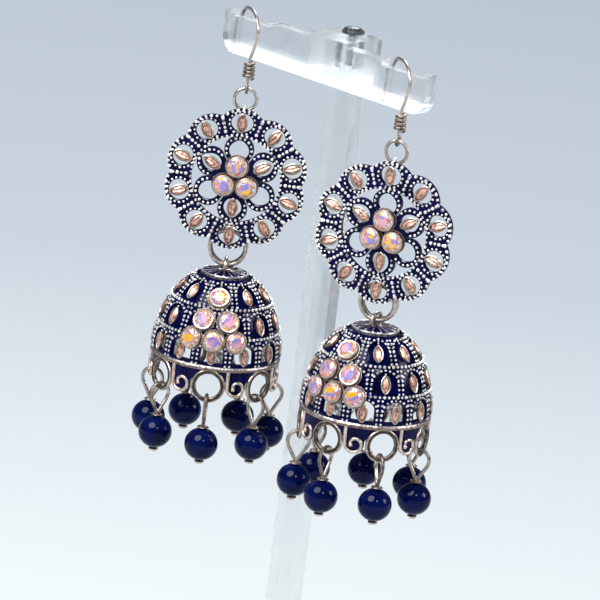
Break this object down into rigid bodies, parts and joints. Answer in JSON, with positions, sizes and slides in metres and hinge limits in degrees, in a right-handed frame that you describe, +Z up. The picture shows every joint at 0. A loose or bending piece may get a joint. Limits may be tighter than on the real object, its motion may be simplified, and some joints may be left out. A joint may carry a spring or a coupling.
{
  "type": "jhumka earrings on a display stand",
  "caption": "Pair of hook earrings with pierced enamel rosettes, domed bells, cut stones and blue bead drops, hanging on a clear T-shaped display stand",
  "frame": {"origin": "middle of the underside of the stand's base", "axes": "+Z up, X along the crossbar, front towards -Y; one earring hangs towards each end of X"},
  "size_m": [0.11, 0.07, 0.1679],
  "materials": {
    "clear_acrylic": "clear, polished",
    "dark_screw": "satin",
    "silver": "antique silver plate",
    "silver_enamel": "antique silver with navy enamel",
    "crystal": "cut, iridescent",
    "blue_bead": "high gloss"
  },
  "bodies": {
    "root": {"stand_base": "clear_acrylic", "stand_post": "clear_acrylic", "stand_crossbar": "clear_acrylic", "stand_screw": "dark_screw", "left_ear_hook": "silver", "left_hook_coil": "silver", "right_ear_hook": "silver", "right_hook_coil": "silver"},
    "left_drop": {"left_jump_ring": "silver", "left_rosette": "silver_enamel", "left_rosette_stone_1": "crystal", "left_rosette_stone_2": "crystal", "left_rosette_stone_3": "crystal", "left_bail_ring_1": "silver", "left_bail_ring_2": "silver"},
    "left_bell": {"left_bell": "silver_enamel", "left_bead_pin_1": "silver", "left_bead_pin_2": "silver", "left_bead_pin_3": "silver", "left_bead_pin_4": "silver", "left_bead_pin_5": "silver", "left_bead_pin_6": "silver", "left_bead_pin_7": "silver", "left_bead_1": "blue_bead", "left_bead_2": "blue_bead", "left_bead_3": "blue_bead", "left_bead_4": "blue_bead", "left_bead_5": "blue_bead", "left_bead_6": "blue_bead", "left_bead_7": "blue_bead"},
    "right_drop": {"right_jump_ring": "silver", "right_rosette": "silver_enamel", "right_rosette_stone_1": "crystal", "right_rosette_stone_2": "crystal", "right_rosette_stone_3": "crystal", "right_bail_ring_1": "silver", "right_bail_ring_2": "silver"},
    "right_bell": {"right_bell": "silver_enamel", "right_bead_pin_1": "silver", "right_bead_pin_2": "silver", "right_bead_pin_3": "silver", "right_bead_pin_4": "silver", "right_bead_pin_5": "silver", "right_bead_pin_6": "silver", "right_bead_pin_7": "silver", "right_bead_1": "blue_bead", "right_bead_2": "blue_bead", "right_bead_3": "blue_bead", "right_bead_4": "blue_bead", "right_bead_5": "blue_bead", "right_bead_6": "blue_bead", "right_bead_7": "blue_bead"}
  },
  "joints": [
    {"name": "left_drop_swing", "type": "hinge", "parent": "root", "child": "left_drop", "pos_m": [-0.0225, -0.0023, 0.14802], "axis": [1, 0, 0], "range_deg": [-25, 25]},
    {"name": "left_bell_swing", "type": "hinge", "parent": "left_drop", "child": "left_bell", "pos_m": [-0.02293, -0.00181, 0.10487], "axis": [1, 0, 0], "range_deg": [-12, 12]},
    {"name": "right_drop_swing", "type": "hinge", "parent": "root", "child": "right_drop", "pos_m": [0.027, -0.0023, 0.14802], "axis": [1, 0, 0], "range_deg": [-25, 25]},
    {"name": "right_bell_swing", "type": "hinge", "parent": "right_drop", "child": "right_bell", "pos_m": [0.02675, -0.0017, 0.10487], "axis": [1, 0, 0], "range_deg": [-12, 12]}
  ]
}
